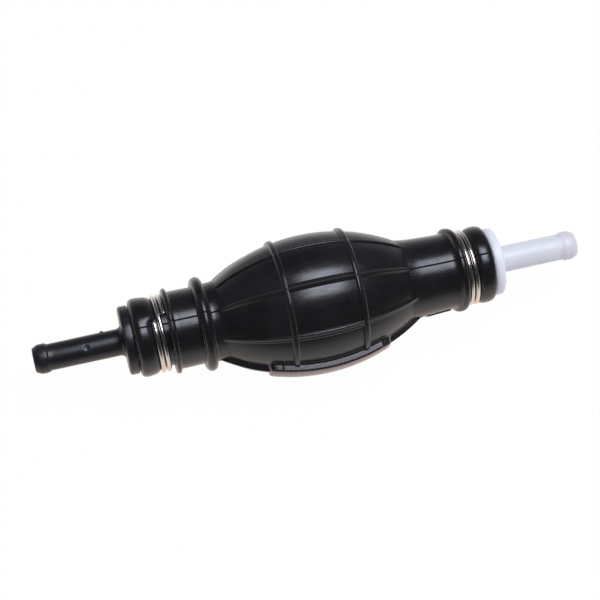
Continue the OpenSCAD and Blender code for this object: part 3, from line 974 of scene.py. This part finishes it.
# %% Nylon materials
BLACK_NYLON = ((0.010, 0.010, 0.0112), (0.0165, 0.0163, 0.0175))
NATURAL_NYLON = ((0.80, 0.835, 0.995), (0.845, 0.87, 1.0))
TIP_TONE, TIP_FADE = (0.69, 0.65, 0.65), (0.0770, 0.0815)
SOAK_RADIUS, SOAK_SCALE = (1.0, 1.0, 1.2), 0.005


def black_nylon_finish():
    """Black moulded nylon with faint flow lines."""
    material, nodes, links, shader = node_finish("black_nylon", 0.3)
    place = object_place(nodes)
    flow = stretched_noise(nodes, links, place, 420, (0.25, 1, 1), 3)
    tone = noise_tone(nodes, links, flow, *BLACK_NYLON)
    links.new(tone.outputs[2], shader.inputs["Base Color"])
    links.new(to_range(nodes, links, flow, 0.26, 0.38), shader.inputs["Roughness"])
    add_bump(nodes, links, shader, flow, 0.06, RELIEF)
    return material


def natural_nylon_finish():
    """Milky nylon that light soaks into, greyer towards the tip."""
    material, nodes, links, shader = node_finish("natural_nylon", 0.4)
    place = object_place(nodes)
    shader.inputs["Subsurface Weight"].default_value = 1.0
    shader.inputs["Subsurface Radius"].default_value = SOAK_RADIUS
    shader.inputs["Subsurface Scale"].default_value = SOAK_SCALE
    cloud = stretched_noise(nodes, links, place, 260, (0.6, 1, 1), 2)
    body = noise_tone(nodes, links, cloud, *NATURAL_NYLON)
    near_tip = soft_ramp(nodes, links, axes_of(nodes, links, place)["X"], *TIP_FADE)
    tip = two_tone(nodes, links, near_tip, BLACK, TIP_TONE)
    links.new(body.outputs[2], tip.inputs[6])
    links.new(tip.outputs[2], shader.inputs["Base Color"])
    links.new(to_range(nodes, links, cloud, 0.34, 0.46), shader.inputs["Roughness"])
    add_bump(nodes, links, shader, cloud, 0.04, RELIEF)
    return material


inlet_fitting.data.materials.append(black_nylon_finish())
outlet_fitting.data.materials.append(natural_nylon_finish())
print("nylon finishes on", inlet_fitting.name, "and", outlet_fitting.name)

# %% [markdown]
# ## Wound wire
# Each cuff is held by a clamp of round spring wire that goes nearly twice round it, and each valve
# has a small coil spring. A curve with a bevel would give a tube too. Here a circle is drawn where
# the wire starts and a Screw modifier winds it round X, because its turns and pitch are the numbers
# that a spring maker uses. The open ends are then closed and their rims bevelled. Each point keeps
# its place in the wire's section, for the finish.

# %% Winding helper
END_BEVEL, WIRE_CREASE = 0.14, 40


def wind_wire(name, wire, line_r, start_x, pitch, turns, start_roll, sides, steps):
    """Round wire wound round X, with its roll falling as x grows. Sizes in millimetres."""
    bpy.ops.object.select_all(action="DESELECT")
    start = (start_x * MM, 0, line_r * MM)
    bpy.ops.mesh.primitive_circle_add(
        vertices=sides, radius=wire / 2 * MM, location=start, rotation=(math.pi / 2, 0, 0)
    )
    coil = bpy.context.object
    coil.name = coil.data.name = name
    bpy.ops.object.transform_apply(location=True, rotation=True, scale=True)
    bpy.ops.object.modifier_add(type="SCREW")
    screw = coil.modifiers[-1]
    screw.axis = "X"
    screw.angle = turns * 2 * math.pi
    screw.screw_offset = pitch * turns * MM
    screw.steps = screw.render_steps = round(steps * turns)
    screw.use_merge_vertices = False
    bpy.ops.object.modifier_apply(modifier=screw.name)
    bpy.ops.object.mode_set(mode="EDIT")
    bpy.ops.mesh.select_mode(type="EDGE")
    bpy.ops.mesh.select_all(action="DESELECT")
    bpy.ops.mesh.select_non_manifold()
    bpy.ops.mesh.fill_holes(sides=0)
    select_where(coil, "FACE", lambda face: len(face.vertices) == sides)
    bpy.ops.mesh.region_to_loop()
    bpy.ops.mesh.bevel(offset=wire * END_BEVEL * MM, segments=3)
    bpy.ops.mesh.select_all(action="SELECT")
    bpy.ops.transform.rotate(
        value=math.radians(start_roll - 90), orient_axis="X", center_override=(0, 0, 0)
    )
    bpy.ops.mesh.normals_make_consistent(inside=False)
    bpy.ops.object.mode_set(mode="OBJECT")
    bpy.ops.object.shade_smooth_by_angle(angle=math.radians(WIRE_CREASE))
    section = coil.data.attributes.new("wire_section", "FLOAT_VECTOR", "POINT")
    for vertex in coil.data.vertices:
        turned = (start_roll - roll_of(vertex.co)) % 360 / 360
        aside = (vertex.co.x / MM - start_x - pitch * turned + pitch / 2) % pitch - pitch / 2
        out = math.hypot(vertex.co.y, vertex.co.z) / MM - line_r
        section.data[vertex.index].vector = (2 * aside / wire, 2 * out / wire, turned)
    print(name, "has", len(coil.data.polygons), "faces")
    return coil


# %% Wind the two clamps
CLAMP_WIRE, CLAMP_LINE_R, CLAMP_TURNS = 1.5, 11.0, 1.97
CLAMP_SIDES, CLAMP_STEPS = 20, 72
INLET_CLAMP_X, OUTLET_CLAMP_X = -49.0, 46.7


def wind_clamp(name, start_x, start_roll):
    """One clamp, from where its wire starts."""
    return wind_wire(
        name, CLAMP_WIRE, CLAMP_LINE_R, start_x, CLAMP_PITCH, CLAMP_TURNS, start_roll,
        CLAMP_SIDES, CLAMP_STEPS,
    )


inlet_clamp = wind_clamp("inlet_clamp_wire", INLET_CLAMP_X, INLET_CLAMP_ROLL)
outlet_clamp = wind_clamp("outlet_clamp_wire", OUTLET_CLAMP_X, OUTLET_CLAMP_ROLL)
for clamp, node in ((inlet_clamp, "inlet_clamp"), (outlet_clamp, "outlet_clamp")):
    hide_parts(node)
    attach(clamp, "pump_body")
    print(clamp.name, "first point at roll", round(roll_of(clamp.data.vertices[0].co), 1))

# %% Wind the two valve springs
VALVE_START = {"inlet": -52.338, "outlet": 40.738}
SPRING_WIRE, SPRING_LINE_R, SPRING_PITCH, SPRING_TURNS = 0.5, 2.85, 1.065, 4.0
SPRING_FROM_START, SPRING_SIDES, SPRING_STEPS = 4.97, 12, 40
springs = []
for side, start in VALVE_START.items():
    coil = wind_wire(
        side + "_valve_coil", SPRING_WIRE, SPRING_LINE_R, start + SPRING_FROM_START,
        SPRING_PITCH, SPRING_TURNS, 0, SPRING_SIDES, SPRING_STEPS,
    )
    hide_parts(side + "_spring")
    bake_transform(coil, "pump_body", side + "_valve", ((start + 9.6) * MM, 0, 0), ((start + 4.6) * MM, 0, 0))
    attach(coil, "pump_body")
    springs.append(coil)

# %% [markdown]
# ## Metal finishes
# The clamp wire is bright and a little warm, with fine drawing lines along it. Object coordinates
# would draw the lines straight through the winding, so the noise runs on each point's place in
# the wire's section, which hardly changes along the wire. The valve springs are plainer steel.

# %% Metal materials
CLAMP_TONES = ((0.62, 0.56, 0.50), (0.85, 0.81, 0.76))
SPRING_TONES = ((0.48, 0.48, 0.50), (0.68, 0.68, 0.70))


def wire_finish(name, dark, light, low, high):
    """Drawn wire between two tones and two roughnesses."""
    material, nodes, links, shader = node_finish(name, low, 1.0)
    section = nodes.new("ShaderNodeAttribute")
    section.attribute_name = "wire_section"
    drawn = stretched_noise(nodes, links, section.outputs["Vector"], 2.2, (1, 1, 1), 2)
    tone = noise_tone(nodes, links, drawn, dark, light)
    links.new(tone.outputs[2], shader.inputs["Base Color"])
    links.new(to_range(nodes, links, drawn, low, high), shader.inputs["Roughness"])
    add_bump(nodes, links, shader, drawn, 0.1, RELIEF / 2)
    return material


clamp_steel = wire_finish("bright_clamp_wire", *CLAMP_TONES, 0.16, 0.28)
spring_steel = wire_finish("spring_steel", *SPRING_TONES, 0.2, 0.34)
for clamp in (inlet_clamp, outlet_clamp):
    clamp.data.materials.append(clamp_steel)
for coil in springs:
    coil.data.materials.append(spring_steel)
print("wire finishes on", len(springs) + 2, "coils")

# %% [markdown]
# ## The valve pieces
# The seat rings, seals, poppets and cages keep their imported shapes, which are right as they are:
# plain turned rings that only show when the pump is taken apart. They need their finishes, an
# ivory moulded plastic and a dark red-brown rubber.

# %% Finish the valve pieces
IVORY = ((0.70, 0.67, 0.59), (0.78, 0.76, 0.69))
SEAL_BROWN = ((0.11, 0.045, 0.03), (0.16, 0.07, 0.045))
ROUGHNESS_SPREAD = 0.06


def valve_finish(name, dark, light, roughness):
    """Grainy moulded surface between two tones."""
    material, nodes, links, shader = node_finish(name, roughness)
    grain = stretched_noise(nodes, links, object_place(nodes), 700, (1, 1, 1), 3)
    tone = noise_tone(nodes, links, grain, dark, light)
    links.new(tone.outputs[2], shader.inputs["Base Color"])
    low, high = roughness - ROUGHNESS_SPREAD, roughness + ROUGHNESS_SPREAD
    links.new(to_range(nodes, links, grain, low, high), shader.inputs["Roughness"])
    add_bump(nodes, links, shader, grain, 0.08, RELIEF)
    return material


ivory = valve_finish("ivory_acetal", *IVORY, 0.4)
seal_brown = valve_finish("seal_rubber", *SEAL_BROWN, 0.55)
finishes = {"seat_ring": ivory, "cage": ivory, "poppet": ivory, "seat_seal": seal_brown}
for side in VALVE_START:
    for piece, finish in finishes.items():
        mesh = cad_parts[f"{side}_{piece}"].data
        mesh.materials.clear()
        mesh.materials.append(finish)
print("valve pieces finished:", len(finishes) * len(VALVE_START))
